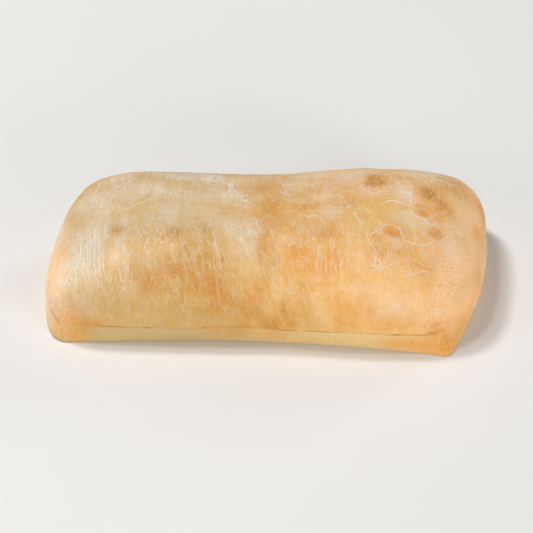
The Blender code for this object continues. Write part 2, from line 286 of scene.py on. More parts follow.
# Corners of the foot that are drawn out a little further: place, radius and move in plan
CornerPull = namedtuple("CornerPull", "place radius move")
CORNER_PULLS = (
    CornerPull((101, -60, 2), 6, (0.6, -2.2)),
    CornerPull((-119, -50, 3), 8, (-1.6, -1.1)),
    CornerPull((-127, -42, 14), 8, (-1.4, -0.4)),
)

# Grooves between two points: folds at the foot's corners, and nicks in the crease
Groove = namedtuple("Groove", "start end half_width depth")
GROOVES = (
    Groove((88, -61, 14.5), (97.5, -61, 17), 0.9, 1.2),
    Groove((97.5, -61, 17), (102, -60, 13), 0.8, 0.8),
    Groove((86, -61, 11), (96, -60, 12.5), 0.6, 0.4),
    Groove((88, -62, 7), (99, -61, 8), 0.8, 0.35),
    Groove((99, -61, 12), (101, -60, 6), 0.6, 0.4),
    Groove((104, -57, 17), (107, -54, 19), 0.7, 0.6),
    Groove((-127, -40, 17), (-118, -51, 3), 0.9, 0.1),
    Groove((-127, -36, 12), (-121, -48, 2), 0.9, 0.25),
    Groove((-126, -44, 22), (-117, -53, 8), 0.9, 0.25),
    Groove((-128, -30, 14), (-125, -42, 5), 0.9, 0.25),
    Groove((-121, -51, 34), (-116, -54, 22), 0.9, 0.3),
    Groove((23, -60, 15), (24, -60, 10), 0.5, 0.6),
    Groove((44, -60, 15), (46, -60, 10), 0.5, 0.7),
    Groove((65, -61, 15), (66, -61, 9), 0.5, 0.7),
    Groove((69, -61, 14), (77, -61, 14), 0.7, 0.8),
    Groove((-90, -55, 13.5), (-72, -56, 13.5), 0.6, 0.8),
)

# Fields of flour strands: their middle, how far they spread along and across the loaf, how many, which
# way they run, in degrees from the length of the loaf to uphill, or None where they spread from the
# middle like a star, how far that strays, and their length
StrandField = namedtuple("StrandField", "x y z along across count heading stray length")
STRAND_ROWS = (
    (-105, -28, 51, 5, 14, 70, 88, 9, 11), (-98, -44, 47, 4, 10, 26, 100, 9, 9),
    (-100, -12, 53, 5, 7, 22, 75, 14, 8), (-121, -35, 42, 2, 17, 40, 60, 22, 5),
    (-122, -48, 17, 3, 7, 34, 45, 30, 4), (-112, -2, 48, 4, 9, 18, 70, 20, 7),
    (-94, 13, 53, 8, 6, 22, 30, 16, 11), (-71, 20, 57, 13, 6, 34, 20, 14, 13),
    (-53, 36, 54, 11, 3, 34, 8, 18, 9), (-39, 27, 55, 8, 6, 26, -8, 20, 10),
    (-87, -25, 54, 5, 6, 22, 112, 16, 9), (-75, -37, 52, 8, 12, 46, 100, 16, 8),
    (-60, -24, 56, 8, 10, 44, 96, 18, 7), (-49, -6, 57, 7, 7, 26, 100, 20, 8),
    (-60, -45, 45, 10, 9, 34, 96, 14, 7), (-40, -30, 53, 7, 13, 50, 108, 14, 9),
    (-28, -46, 43, 8, 12, 56, 106, 14, 10), (-17, -25, 54, 8, 13, 64, 112, 14, 9),
    (-13, 10, 56, 4, 4, 40, -25, 40, 6), (-20, -5, 56, 7, 6, 30, 150, 22, 8),
    (-6, -13, 56, 6, 9, 36, 118, 16, 8), (-1, -40, 49, 6, 14, 40, 95, 10, 11),
    (3, -54, 35, 8, 9, 24, 95, 12, 8), (17, 20, 57, 7, 6, 46, 20, 70, 5),
    (31, 17, 59, 7, 4, 40, 15, 25, 8), (28, -10, 60, 8, 6, 46, 125, 18, 7),
    (42, -24, 59, 6, 6, 26, 118, 20, 6), (17, -27, 57, 7, 10, 26, 100, 14, 7),
    (32, -41, 53, 10, 10, 30, 98, 16, 6), (28, -56, 37, 12, 7, 20, 90, 16, 6),
    (42, -3, 61, 4, 4, 36, None, 14, 7), (59, 13, 60, 8, 4, 40, 25, 50, 6),
    (78, 20, 57, 5, 4, 46, 40, 70, 5), (94, 39, 51, 10, 4, 34, 10, 60, 5),
    (108, 31, 48, 5, 5, 12, -45, 40, 5), (50, 25, 59, 8, 3, 30, 5, 25, 8),
    (73, 8, 58, 6, 4, 22, -20, 40, 7), (86, 1, 54, 5, 4, 20, -35, 40, 6),
    (55, -26, 58, 5, 4, 20, -50, 40, 6), (61, -43, 52, 4, 3, 16, None, 20, 5),
    (57, -34, 56, 5, 5, 20, 100, 35, 5), (84, -45, 48, 6, 4, 16, -12, 30, 7),
    (70, -40, 52, 7, 4, 20, 20, 60, 5), (97, -20, 50, 5, 6, 16, 30, 30, 7),
    (109, -10, 46, 5, 9, 14, 35, 20, 9), (75, -32, 54, 7, 6, 16, 80, 30, 5),
    (50, -52, 45, 8, 9, 8, 95, 18, 4), (68, -53, 43, 8, 10, 6, 100, 25, 3),
    (86, -59, 27, 6, 5, 10, -35, 16, 5), (100, -57, 17, 5, 4, 14, 60, 40, 2),
    (103, -56, 7, 2, 4, 6, 60, 30, 2), (-80, -52, 33, 18, 7, 16, 95, 20, 5),
    (-24, -56, 25, 18, 4, 14, 95, 20, 4), (73, -61, 23, 12, 3, 4, 20, 30, 3),
)
STRAND_FIELDS = [StrandField(*row) for row in STRAND_ROWS]
# Between the points of a strand, and from the ground to the lowest of them
STRAND_STEP = 1.5 * MM
STRAND_GROUND_GAP = 0.3 * MM
# How far a heading strays, as a share of the field's; shares of the field's length; how much a strand
# curls from point to point, and how much more at each
STRAND_STRAY = 0.6
STRAND_LENGTHS = (0.5, 1.5)
STRAND_CURL = (0.07, 0.03)
# Crust browner than this carries no strands
BARE_BROWN = 0.35
# What strands take over from the crust below them
STRAND_MASKS = ("pale", "crackle", "warm")

# Long white lines where the floured skin cracked as it stretched: how thick, as a share of the thickest,
# and the points that they run by
FLOUR_CRACKS = (
    # Round the golden hollows at the right, and from them over the yellow skin
    (0.8, (50, -19, 59), (54, -24, 58), (59, -22, 58), (63, -19, 58), (66, -15, 58), (70, -14, 57)),
    (0.9, (70, -14, 57), (74, -17, 56), (75, -24, 56)),
    (0.7, (74, -25, 56), (79, -27, 54), (84, -28, 53), (89, -26, 52), (93, -22, 51)),
    (1.1, (84, 24, 56), (82, 15, 56), (81, 5, 55)),
    (0.9, (81, 5, 55), (76, 6, 57), (72, 7, 58), (68, 7, 58), (63, 2, 59)),
    (0.9, (80, 3, 56), (81, -1, 55), (84, -3, 55), (88, -4, 54), (90, -8, 53), (98, -8, 51)),
    (0.5, (104, 9, 49), (97, 4, 52), (92, -2, 54)), (0.5, (95, -22, 50), (102, -13, 49)),
    # Down the front from there
    (0.6, (54, -24, 58), (55, -28, 58), (56, -31, 57), (61, -37, 55)),
    (0.6, (57, -37, 55), (59, -40, 53), (58, -45, 51)),
    (0.6, (73, -48, 47), (77, -47, 48), (83, -46, 48), (87, -44, 48), (90, -45, 46)),
    (0.6, (51, 19, 60), (55, 15, 60), (59, 12, 60), (67, 15, 59)),
    (0.6, (75, 17, 57), (78, 17, 57), (83, 17, 56)),
    # Arcs over the left of the top
    (0.5, (-89, 1, 55), (-81, 3, 56), (-72, 8, 57), (-64, 12, 57), (-57, 14, 57)),
    (0.7, (-95, 2, 54), (-93, -4, 54), (-94, -11, 54), (-94, -19, 54)),
    (0.4, (-86, -22, 55), (-84, -27, 55), (-82, -33, 54), (-78, -37, 52)),
    # Straight down the front, side by side, near the left end
    (0.7, (-108, -15, 50), (-107, -29, 50), (-107, -39, 48)),
    (0.7, (-104, -15, 51), (-103, -33, 51), (-102, -45, 45)),
    (0.8, (-100, -12, 52), (-99, -31, 52), (-98, -44, 47), (-96, -50, 40)),
    (0.7, (-97, -20, 54), (-96, -35, 52), (-94, -49, 42)),
    (0.6, (-94, -24, 54), (-94, -39, 51), (-92, -47, 44)),
    (0.6, (-105, -33, 50), (-104, -45, 45), (-102, -50, 37)),
    (0.5, (-109, -36, 48), (-109, -44, 44), (-108, -49, 38)), (0.5, (-102, -18, 52), (-101, -35, 51)),
    (0.5, (-113, -35, 47), (-113, -44, 44), (-116, -47, 39)),
    # Here and there along the middle
    (0.3, (-34, -7, 56), (-32, -21, 55), (-30, -31, 52)),
    (0.25, (-17, -31, 52), (-16, -40, 48), (-18, -45, 45)),
    (0.3, (5, -24, 56), (4, -36, 52), (4, -45, 47)),
    (0.4, (-30, -54, 33), (-27, -55, 31), (-25, -56, 26)),
    (0.4, (8, 25, 55), (13, 28, 55), (21, 29, 56)), (0.6, (-17, 14, 55), (-14, 7, 56), (-11, 5, 56)),
    (0.5, (15, -4, 58), (20, -8, 59), (24, -13, 59)), (0.4, (27, -35, 55), (30, -39, 54), (31, -41, 53)),
    (0.4, (-9, -3, 56), (-7, -17, 56), (-7, -26, 55)),
    # A loose net of thin ones over the right and along the back of the top
    (0.4, (37, -1, 61), (42, -3, 61), (47, -1, 60), (51, -3, 60)),
    (0.4, (42, 7, 61), (44, 1, 61), (46, -6, 60)), (0.45, (46, -4, 60), (49, -10, 60), (52, -16, 59)),
    (0.4, (34, -11, 61), (40, -7, 61), (45, -3, 60)), (0.45, (69, 30, 57), (76, 24, 57), (81, 22, 56)),
    (0.45, (77, 30, 56), (83, 24, 56), (85, 24, 55)),
    (0.5, (86, 42, 52), (91, 39, 52), (96, 34, 51), (100, 31, 51)),
    (0.45, (91, 28, 54), (96, 36, 51), (103, 37, 50), (109, 34, 48)),
    (0.4, (90, 37, 52), (94, 28, 53), (98, 25, 52)), (0.4, (67, 34, 57), (76, 38, 55), (85, 39, 53)),
    (0.45, (90, -11, 53), (96, -5, 51), (101, -6, 50)),
    (0.4, (60, -32, 56), (59, -39, 54), (62, -43, 51), (61, -46, 49)),
    (0.4, (56, -44, 51), (62, -44, 51), (68, -45, 50)), (0.4, (68, -7, 58), (75, -4, 57), (80, 2, 56)),
    (0.45, (-28, 33, 53), (-22, 23, 55), (-16, 13, 56), (-11, 6, 56)),
    (0.4, (-40, 35, 53), (-32, 31, 54), (-23, 27, 54)),
    (0.4, (-31, 16, 56), (-22, 14, 55), (-14, 9, 56)), (0.45, (8, 27, 55), (9, 16, 56), (12, 9, 58)),
    (0.4, (5, 12, 56), (12, 7, 58), (18, 8, 59)), (0.4, (22, -3, 59), (27, -10, 60), (32, -20, 60)),
    (0.4, (17, -10, 59), (24, -9, 59), (32, -9, 60)), (0.4, (21, 34, 54), (28, 35, 55), (36, 29, 57)),
    (0.4, (39, 11, 60), (41, 1, 61), (39, -9, 61)),
)


def settings():
    return bpy.context.scene.ciabatta


def placed(name, data):
    """A new object with this data, in the scene."""
    made = bpy.data.objects.new(name, data)
    bpy.context.scene.collection.objects.link(made)
    return made


def rgba(name):
    """One of the colours that a user may change, as a shader takes it."""
    return (*getattr(settings().colours, name), 1.0)


# ---------------------------------------------------------------------------------------------------
# Measuring places on the crust


def ease(value, start, end):
    """0 before start, 1 after end, and a smooth rise between them, for numbers or arrays."""
    share = np.clip((value - start) / (end - start), 0, 1)
    return share * share * (3 - 2 * share)


def waves(places, size, seed):
    """Smooth noise from -1 to 1, whose bumps are about this size, at each of the places. Each use has
    a seed of its own."""
    shift = Vector((seed * 7.3, seed * 3.1, seed * 5.7))
    return np.array([noise.noise(Vector(place) / size + shift) for place in places])


def hidden_patches():
    """Patches scattered over the back and the ends, which the front hides."""
    draw = np.random.default_rng(SEED)
    made = {}
    for kind, count in HIDDEN_KINDS.items():
        made[kind] = []
        for _ in range(count):
            x = draw.uniform(-1, 1) * HALF_LENGTH / MM
            past_crest = max(abs(x) - CREST_HALF / MM, 0) * (1 if x > 0 else -1)
            out = Vector((past_crest * 1.5, 25, 0)).normalized()
            z = draw.uniform(*HIDDEN_HEIGHT)
            leaning_in = 1 - (z / 75) ** 2
            place = (x, out.y * HALF_WIDTH / MM * leaning_in, z)
            sizes = draw.uniform(*HIDDEN_LENGTH), draw.uniform(*HIDDEN_WIDTH)
            made[kind].append((*place, *sizes, draw.uniform(*HIDDEN_STRENGTH)))
    return made


def patch_mask(places, patches):
    """How far each place lies in these patches, from 0 to 1."""
    bare = np.ones(len(places))
    for *middle, half_length, half_width, strength in patches:
        away = places / MM - np.array(middle)
        along = (away[:, 0] / half_length) ** 2
        across = (away[:, 1] ** 2 + away[:, 2] ** 2) / half_width**2
        bare *= 1 - strength * np.exp(-(along + across))
    return 1 - bare


def downhill(places):
    """Streak coordinates of each place: which line down from the crest it is on, how far that line has
    drifted, and how far down it is. They run on over the crest and round the ends without a jump."""
    along = np.clip(places[:, 0], -CREST_HALF, CREST_HALF)
    past = places[:, 0] - along
    turn = np.arctan2(past, np.abs(places[:, 1]) + GROUND)
    down = np.hypot(past, places[:, 1]) + TOP - places[:, 2]
    in_middle = ease(places[:, 0], -100 * MM, -10 * MM) * (1 - ease(places[:, 0], 0, 90 * MM))
    drift = 3 * MM * waves(places, 45 * MM, 1) + 0.8 * MM * waves(places, 14 * MM, 6)
    drift -= LEAN * down * in_middle
    at_end = ease(np.abs(past), 0, 15 * MM)
    fan = at_end * np.sign(places[:, 1]) * FAN_RADIUS * np.cos(turn)
    return np.stack([along + FAN_RADIUS * turn + drift, 0.13 * places[:, 1] + fan, down], axis=1)


def behind_front(places):
    """0 on the front of the loaf, where the crease stands open, and 1 behind it."""
    return ease(places[:, 1], *FRONT_EDGE)


def crease_lift(places):
    """How much higher the crease runs in the crust than in the solid: more towards the front right."""
    return CREASE_RISE * ease(places[:, 0], 0, 45 * MM) * (1 - behind_front(places))


def crease_height(places):
    wander = CREASE_WANDER * waves(places * (1, 1, 0), 45 * MM, 0)
    return CREASE_HEIGHT + wander + crease_lift(places)


def crease_line(places):
    """How near each place is to the crease over the foot, from 0 to 1. It is sharpest at the right, and
    for a short way near the left end."""
    x = places[:, 0]
    near = np.exp(-(((places[:, 2] - crease_height(places)) / settings().sizes.crease_half_width) ** 2))
    short_of_ends = 1 - ease(np.abs(x + 4 * MM), 88 * MM, 102 * MM)
    near_left_end = 1 - ease(np.abs(x + 81 * MM), 9 * MM, 15 * MM)
    sharp = np.maximum(ease(x, -8 * MM, 10 * MM), near_left_end)
    return near * short_of_ends * (0.2 + 0.8 * (1 - behind_front(places))) * (0.35 + 0.65 * sharp)


def hollow_shape(places, hollow):
    """The depth of one hollow at each place, from 0 outside it to 1 in it, and its raised rim."""
    away = (places[:, :2] - np.array(hollow.place) * MM) / (np.array(hollow.half_size) * MM)
    off = np.linalg.norm(away, axis=1) + 0.3 * waves(places, 4 * MM, 2)
    above = places[:, 2] > TOP / 2
    return above * (1 - ease(off, 0.1, 1.15)), above * np.exp(-(((off - 1.15) / 0.25) ** 2))


def all_hollows(places):
    """How far each place lies in a hollow, and on a hollow's rim, from 0 to 1."""
    shapes = [hollow_shape(places, hollow) for hollow in HOLLOWS]
    return tuple(np.max([shape[side] for shape in shapes], axis=0) for side in (0, 1))


def groove_shape(places, groove):
    """How deep one groove is at each place, from 0 to 1."""
    start = np.array(groove.start) * MM
    span = np.array(groove.end) * MM - start
    share = np.clip((places - start) @ span / (span @ span), 0, 1)
    away = np.linalg.norm(places - start - share[:, None] * span, axis=1)
    return np.exp(-((away / (groove.half_width * MM)) ** 2)) * (1 - (2 * share - 1) ** 4 * 0.8)


def all_grooves(places):
    """How far each place lies in a groove, from 0 to 1."""
    return np.max([groove_shape(places, groove) for groove in GROOVES], axis=0)


def corner_pulls(places):
    """How far each place is drawn out at the foot's corners, in plan."""
    moves = np.zeros_like(places)
    for pull in CORNER_PULLS:
        away = np.linalg.norm(places / MM - np.array(pull.place), axis=1)
        moves[:, :2] += np.exp(-((away / pull.radius) ** 2))[:, None] * np.array(pull.move) * MM
    return moves


def crust_relief(places):
    """How far the crust stands out, or in, at each place, in metres."""
    sizes = settings().sizes
    wall = ease(places[:, 2], 1 * MM, 14 * MM)
    out = sizes.wrinkle_height * wall * waves(places, 7 * MM, 3)
    out += 0.6 * sizes.wrinkle_height * wall * waves(places, 3.4 * MM, 4)
    above_crease = ease(places[:, 2], CREASE_HEIGHT, CREASE_HEIGHT + 8 * MM)
    marks = waves(downhill(places) * (1, 1, MARK_STRETCH), 2.6 * MM, 5)
    out += sizes.stretch_mark_height * above_crease * marks
    for hollow in HOLLOWS:
        dip, rim = hollow_shape(places, hollow)
        out += (0.2 * rim - hollow.depth * dip) * MM
    for groove in GROOVES:
        out -= groove.depth * MM * groove_shape(places, groove)
    out += NET_HEIGHT * patch_mask(places, PATCHES["crackle"]) * waves(places, 2.2 * MM, 9)
    out += PORE_HEIGHT * patch_mask(places, PATCHES["porous"]) * waves(places, 2.6 * MM, 18)
    out -= sizes.crease_depth * crease_line(places)
    return out


# ---------------------------------------------------------------------------------------------------
# Shader nodes


class NodeWriter:
    """Writes nodes into one tree. Each method adds a node and gives the socket that it puts out."""

    def __init__(self, tree):
        self.tree = tree

    def feed(self, socket, value):
        if isinstance(value, bpy.types.NodeSocket):
            self.tree.links.new(value, socket)
        else:
            socket.default_value = value

    def add(self, kind, inputs, out=0, **choices):
        made = self.tree.nodes.new(kind)
        for name, choice in choices.items():
            setattr(made, name, choice)
        for name, value in inputs.items():
            self.feed(made.inputs[name], value)
        return made.outputs[out]

    def sum(self, operation, first, second=0.0, third=0.0, clamp=False):
        inputs = {0: first, 1: second, 2: third}
        return self.add("ShaderNodeMath", inputs, operation=operation, use_clamp=clamp)

    def vector(self, operation, first, second):
        return self.add("ShaderNodeVectorMath", {0: first, 1: second}, operation=operation)

    def rise(self, value, start, end, low=0.0, high=1.0):
        """low before start, high after end, and a smooth step between them."""
        inputs = {"Value": value, "From Min": start, "From Max": end, "To Min": low, "To Max": high}
        return self.add("ShaderNodeMapRange", inputs, interpolation_type="SMOOTHSTEP")

    def mix(self, share, first, second, blend="MIX"):
        inputs = {"Factor": share, 6: first, 7: second}
        return self.add("ShaderNodeMix", inputs, out=2, data_type="RGBA", blend_type=blend)

    def ramp(self, value, steps, colours):
        """A colour for each value, mixed smoothly between the colours at the steps."""
        ramp = self.tree.nodes.new("ShaderNodeValToRGB")
        self.feed(ramp.inputs["Fac"], value)
        elements = ramp.color_ramp.elements
        while len(elements) < len(steps):
            elements.new(0.5)
        for element, step, colour in zip(elements, steps, colours):
            element.position = step
            element.color = colour
        return ramp.outputs["Color"]

    def noise(self, place, scale, detail=2.0, roughness=0.5):
        inputs = {"Vector": place, "Scale": scale, "Detail": detail, "Roughness": roughness}
        return self.add("ShaderNodeTexNoise", inputs)

    def stretched_noise(self, way, scales, roughness):
        """Noise whose scale differs along, across and down the way."""
        return self.noise(self.vector("MULTIPLY", way, scales), 1.0, 2.0, roughness)

    def centred(self, value):
        return self.sum("SUBTRACT", value, 0.5)

    def times(self, first, second, clamp=False):
        return self.sum("MULTIPLY", first, second, clamp=clamp)

    def more(self, value, share, base):
        """base, and a share of the value."""
        return self.sum("MULTIPLY_ADD", value, share, base)

    def place(self):
        return self.add("ShaderNodeTexCoord", {}, out="Object")

    def attribute(self, name, out="Fac"):
        return self.add("ShaderNodeAttribute", {}, out=out, attribute_name=name)

    def effect(self, group, inputs, out=0):
        """One of the shared effects below, placed here with its own values."""
        return self.add("ShaderNodeGroup", inputs, out=out, node_tree=group)


def new_effect(name, inputs, outputs):
    """A node group with these named inputs, as (name, kind, default), and these outputs of one value.
    Gives its tree, a writer for it, its input sockets by name and its output node."""
    tree = bpy.data.node_groups.new(name, "ShaderNodeTree")
    for label, kind, default in inputs:
        socket = tree.interface.new_socket(label, in_out="INPUT", socket_type=kind)
        socket.default_value = default
    for label in outputs:
        tree.interface.new_socket(label, in_out="OUTPUT", socket_type="NodeSocketFloat")
    given = tree.nodes.new("NodeGroupInput").outputs
    return tree, NodeWriter(tree), given, tree.nodes.new("NodeGroupOutput")


VALUE = "NodeSocketFloat"
VECTOR = "NodeSocketVector"


def fibres_effect():
    """Thin lines that run one way and break off, like flour combed down the crust."""
    inputs = (
        ("Way", VECTOR, (0, 0, 0)),
        ("Across", VALUE, 500),
        ("Along", VALUE, 50),
        ("Width", VALUE, 0.06),
        ("Seed", VALUE, 0),
    )
    tree, write, given, result = new_effect("Fibres", inputs, ("Lines",))
    across, along = given["Across"], given["Along"]
    stretch = write.add("ShaderNodeCombineXYZ", {"X": across, "Y": across, "Z": along})
    way = write.vector("ADD", write.vector("MULTIPLY", given["Way"], stretch), given["Seed"])
    ridge = write.noise(way, 1.0, detail=1.0, roughness=0.5)
    from_middle = write.sum("ABSOLUTE", write.centred(ridge))
    lines = write.rise(from_middle, 0.0, given["Width"], high=0.0, low=1.0)
    broken = write.rise(write.noise(way, 0.43, detail=0.0), 0.36, 0.58)
    write.feed(result.inputs["Lines"], write.times(lines, broken))
    return tree


def crackle_effect():
    """A broken net of fine lines, like flour that has cracked as the crust rose."""
    inputs = (("Place", VECTOR, (0, 0, 0)), ("Scale", VALUE, 150), ("Width", VALUE, 0.06))
    tree, write, given, result = new_effect("Crackle", inputs, ("Lines",))
    place = given["Place"]
    inputs = {"Vector": place, "Scale": given["Scale"]}
    edge = write.add("ShaderNodeTexVoronoi", inputs, out="Distance", feature="DISTANCE_TO_EDGE")
    lines = write.rise(edge, 0.0, given["Width"], low=1.0, high=0.0)
    broken = write.rise(write.noise(place, 210, detail=1.0), 0.36, 0.56)
    write.feed(result.inputs["Lines"], write.times(lines, broken))
    return tree


def speckle_effect():
    """Small round spots of uneven size."""
    inputs = (("Place", VECTOR, (0, 0, 0)), ("Scale", VALUE, 800), ("Spot", VALUE, 0.3))
    tree, write, given, result = new_effect("Speckle", inputs, ("Spots",))
    cells = tree.nodes.new("ShaderNodeTexVoronoi")
    write.feed(cells.inputs["Vector"], given["Place"])
    write.feed(cells.inputs["Scale"], given["Scale"])
    uneven = write.add("ShaderNodeSeparateColor", {"Color": cells.outputs["Color"]}, out="Red")
    spot = write.times(given["Spot"], write.rise(uneven, 0.35, 1.0))
    inner = write.times(spot, 0.45)
    spots = write.rise(cells.outputs["Distance"], inner, spot, low=1.0, high=0.0)
    write.feed(result.inputs["Spots"], write.times(spots, write.rise(spot, 0.02, 0.08)))
    return tree


def feathered_effect():
    """A soft patch that a feather of streaks and mottling, from -1 to 1, breaks up."""
    inputs = (("Patch", VALUE, 0), ("Feather", VALUE, 0), ("Depth", VALUE, 3))
    tree, write, given, result = new_effect("Feathered Patch", inputs, ("Amount",))
    uneven = write.more(given["Feather"], given["Depth"], 1.12)
    write.feed(result.inputs["Amount"], write.times(given["Patch"], uneven, clamp=True))
    return tree


def make_effects():
    return {
        "fibres": fibres_effect(),
        "crackle": crackle_effect(),
        "speckle": speckle_effect(),
        "feathered": feathered_effect(),
    }


def new_material(name):
    material = bpy.data.materials.new(name)
    material.use_nodes = True
    tree = material.node_tree
    return material, NodeWriter(tree), tree.nodes["Principled BSDF"]


def bump(write, shader, height, distance):
    inputs = {"Height": height, "Distance": distance}
    write.feed(shader.inputs["Normal"], write.add("ShaderNodeBump", inputs))


def skin_feather(write, way, mottle, grain):
    """What breaks up every patch: streaks on the way down, mottling, and grain."""
    streaks = write.stretched_noise(way, (430, 430, 60), 0.65)
    streakiness = write.rise(write.attribute("warm"), 0.2, 1.0, low=1.6, high=0.8)
    feather = write.times(write.centred(streaks), streakiness)
    feather = write.more(write.centred(mottle), 3.0, feather)
    return write.more(write.centred(grain), 1.1, feather)


def lay_colour(write, effects, feather, skin, layer):
    """The skin with one colour laid over it where its mask is, broken up by the feather."""
    mask, colour, depth, strength = layer
    inputs = {"Patch": write.attribute(mask), "Feather": feather, "Depth": depth}
    amount = write.effect(effects["feathered"], inputs)
    return write.mix(write.times(amount, strength), skin, rgba(colour))


def toasted_skin(write, effects, feather):
    """How toasted each place is, with painted shade in the grooves, as a colour that is warmer at the
    right, with its patches and the foot.
    """
    warm = write.attribute("warm")
    toast_and_groove_shade = write.attribute("toast_and_groove_shade")
    toast_and_groove_shade = write.more(feather, write.more(toast_and_groove_shade, TOAST_UNEVEN[1], TOAST_UNEVEN[0]), toast_and_groove_shade)
    at_left = write.ramp(toast_and_groove_shade, TOAST_STEPS, [rgba(name) for name in COOL_TOAST])
    at_right = write.ramp(toast_and_groove_shade, TOAST_STEPS, [rgba(name) for name in WARM_TOAST])
    skin = write.mix(warm, at_left, at_right)
    for layer in SKIN_LAYERS:
        skin = lay_colour(write, effects, feather, skin, layer)
    foot = write.times(write.attribute("foot"), write.more(feather, 0.3, 0.8))
    skin = write.mix(foot, skin, write.mix(warm, rgba("foot_cool"), rgba("foot_warm")))
    return lay_colour(write, effects, feather, skin, FOOT_LAYER)


def flour_cover(write, effects, place, way, feather, mottle):
    """How much flour covers each place: a veil, which in places also lightens the crust as painted light,
    lines combed down the crust, nets, and the rims of the hollows. The combed lines come too."""
    lines = {"Way": way, "Across": 400, "Along": 36, "Width": 0.05, "Seed": 3.0}
    thick = write.effect(effects["fibres"], lines)
    lines = {"Way": way, "Across": 760, "Along": 62, "Width": 0.08, "Seed": 11.0}
    thin = write.effect(effects["fibres"], lines)
    combed = write.sum("MAXIMUM", thick, write.times(thin, 0.75))
    combed = write.times(write.times(combed, write.attribute("combed")), write.attribute("floured"))
    net = write.effect(effects["crackle"], {"Place": place, "Scale": 190, "Width": 0.13})
    net = write.times(net, write.attribute("crackle"))
    rim = write.times(write.attribute("rim"), write.rise(mottle, 0.4, 0.6, high=0.7))
    flour = write.sum("MAXIMUM", combed, write.times(write.sum("MAXIMUM", net, rim), 0.5))
    # Partly painted light: the pale patches also lighten the left end and the back of the top
    veil_and_painted_light = write.times(write.attribute("pale"), write.more(feather, -0.32, 0.66))
    veiled_and_painted_light = write.sum("ADD", veil_and_painted_light, write.times(flour, 0.55))
    flour = write.sum("MAXIMUM", flour, veiled_and_painted_light, clamp=True)
    off_foot = write.rise(write.attribute("foot"), 0.0, 1.0, low=1.0, high=0.15)
    return write.times(flour, off_foot), thick


def crust_material(effects):
    """Straw-coloured skin that toasts through gold to brown, under a veil and combed lines of flour."""
    material, write, shader = new_material("part_baked_crust")
    place = write.place()
    way = write.attribute("way", out="Vector")
    mottle = write.noise(place, 210, detail=3.0, roughness=0.6)
    grain = write.noise(place, 900, detail=1.0, roughness=0.6)
    feather = skin_feather(write, way, mottle, grain)
    skin = toasted_skin(write, effects, feather)

    # Pores and pale grains, mostly in the peach skin
    porous = write.attribute("porous")
    pitting = write.noise(place, 800, detail=2.0, roughness=0.7)
    pores = write.times(write.rise(pitting, 0.51, 0.62), porous)
    skin = write.mix(write.times(pores, 0.75), skin, rgba("orange"))
    grains = write.times(write.rise(pitting, 0.38, 0.49, low=1.0, high=0.0), porous)
    skin = write.mix(write.times(grains, 0.5), skin, rgba("flour"))

    flour, combed = flour_cover(write, effects, place, way, feather, mottle)
    colour = write.mix(write.times(flour, 0.9), skin, rgba("flour"))
    # Painted shade: the grooves at the corners and the nicks in the crease are darkened in colour
    colour = write.mix(write.times(write.attribute("painted_groove_shade"), 0.6), colour, rgba("painted_groove_shade"))
    # Painted shade: the crease over the foot is darkened in colour along its line
    colour = write.mix(write.times(write.attribute("crease"), 1.2, clamp=True), colour, rgba("crease"))

    # The finest fluff of the flour, as a tint alone
    fluff = write.stretched_noise(way, (750, 750, 260), 0.7)
    fluff = write.rise(write.times(write.sum("ADD", fluff, pitting), 0.5), 0.40, 0.60)
    colour = write.mix(1.0, colour, write.mix(fluff, *FLUFF_TINTS), blend="MULTIPLY")
    write.feed(shader.inputs["Base Color"], colour)

    height = write.more(combed, 0.4, write.times(grain, 0.5))
    bump(write, shader, write.more(pores, -0.35, height), 0.14 * MM)
    write.feed(shader.inputs["Roughness"], write.rise(flour, 0.0, 1.0, low=0.68, high=0.92))
    shader.inputs["Specular IOR Level"].default_value = 0.3
    return material


def base_material(effects):
    """The underside: dry, paler skin that lay on the board, with browned specks and clouds of flour."""
    material, write, shader = new_material("loaf_underside")
    place = write.place()
    broad = write.rise(write.noise(place, 34, detail=4.0), 0.35, 0.7)
    skin = write.mix(broad, rgba("straw_cool"), rgba("gold_cool"))
    net = write.effect(effects["crackle"], {"Place": place, "Scale": 90, "Width": 0.05})
    spots = write.effect(effects["speckle"], {"Place": place, "Scale": 240, "Spot": 0.45})
    skin = write.mix(write.times(spots, 0.5), skin, rgba("brown"))
    cloud = write.rise(write.noise(place, 120, detail=5.0, roughness=0.65), 0.40, 0.70)
    flour = write.sum("MAXIMUM", write.times(cloud, 0.6), write.times(net, 0.25))
    write.feed(shader.inputs["Base Color"], write.mix(flour, skin, rgba("flour")))
    bump(write, shader, write.more(spots, -1.0, flour), 0.3 * MM)
    write.feed(shader.inputs["Roughness"], write.rise(flour, 0.0, 1.0, low=0.7, high=0.95))
    return material


def powder_material(name, bump_depth):
    """A dry and powdery material, a writer for it, and its place and shader, which want a colour yet."""
    material, write, shader = new_material(name)
    place = write.place()
    bump(write, shader, write.noise(place, 3000, detail=1.0), bump_depth)
    shader.inputs["Roughness"].default_value = 0.9
    return material, write, place, shader


def flour_material():
    """Loose grains of flour."""
    material, write, place, shader = powder_material("loose_flour", 0.05 * MM)
    tone = write.rise(write.noise(place, 700, detail=2.0), 0.3, 0.7)
    write.feed(shader.inputs["Base Color"], write.mix(tone, rgba("flour"), rgba("straw_warm")))
    return material


# ---------------------------------------------------------------------------------------------------
# The crust


